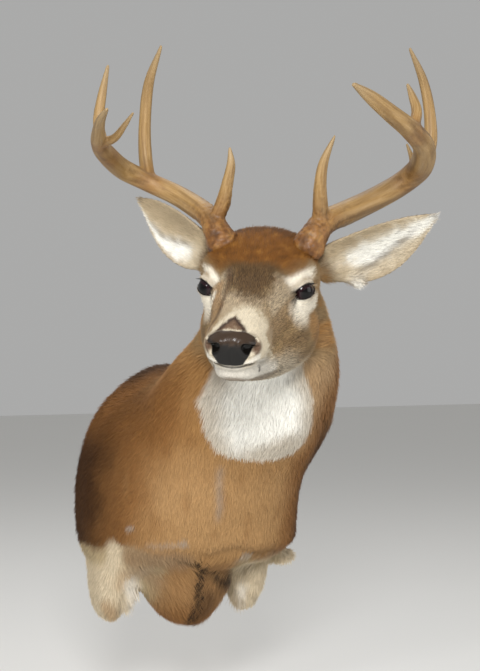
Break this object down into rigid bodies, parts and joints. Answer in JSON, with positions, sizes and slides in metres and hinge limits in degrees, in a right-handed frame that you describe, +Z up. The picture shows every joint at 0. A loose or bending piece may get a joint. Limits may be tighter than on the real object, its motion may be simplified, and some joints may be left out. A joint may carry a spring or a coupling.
{
  "type": "deer shoulder mount",
  "caption": "White-tailed buck's head, neck and shoulders mounted on a flat wooden back board to hang on a wall, with antlers and glass eyes.",
  "frame": {"origin": "on the back board's rear face, at its middle, where the mount lies on the wall", "axes": "+Y into the wall, -Y the way the shoulders face, +Z up, +X the deer's left"},
  "size_m": [0.4485, 0.5661, 0.7781],
  "materials": {
    "body_hide": "short caramel-brown deer coat over tanned hide",
    "face_hide": "very short brown and grey deer coat with white rings",
    "ear_hide": "grey-tan hair outside, white hair inside",
    "pale_hide": "cream-white deer coat",
    "antler": "bare honey-brown antler bone with pale polished tips",
    "eye_glass": "dark brown glass eye, polished",
    "plywood": "plain sawn plywood"
  },
  "bodies": {
    "root": {"antler_left_base": "antler", "antler_left_brow_tine": "antler", "antler_left_fore_tine": "antler", "antler_left_inner_point": "antler", "antler_left_long_tine": "antler", "antler_left_middle": "antler", "antler_left_tip": "antler", "antler_right_base": "antler", "antler_right_brow_tine": "antler", "antler_right_fore_tine": "antler", "antler_right_inner_point": "antler", "antler_right_long_tine": "antler", "antler_right_middle": "antler", "antler_right_tip": "antler", "back_board": "plywood", "ear_left": "ear_hide", "ear_right": "ear_hide", "eye_left": "eye_glass", "eye_right": "eye_glass", "foreleg_left": "pale_hide", "foreleg_right": "pale_hide", "head": "face_hide", "neck": "body_hide", "trunk": "body_hide"}
  },
  "joints": []
}
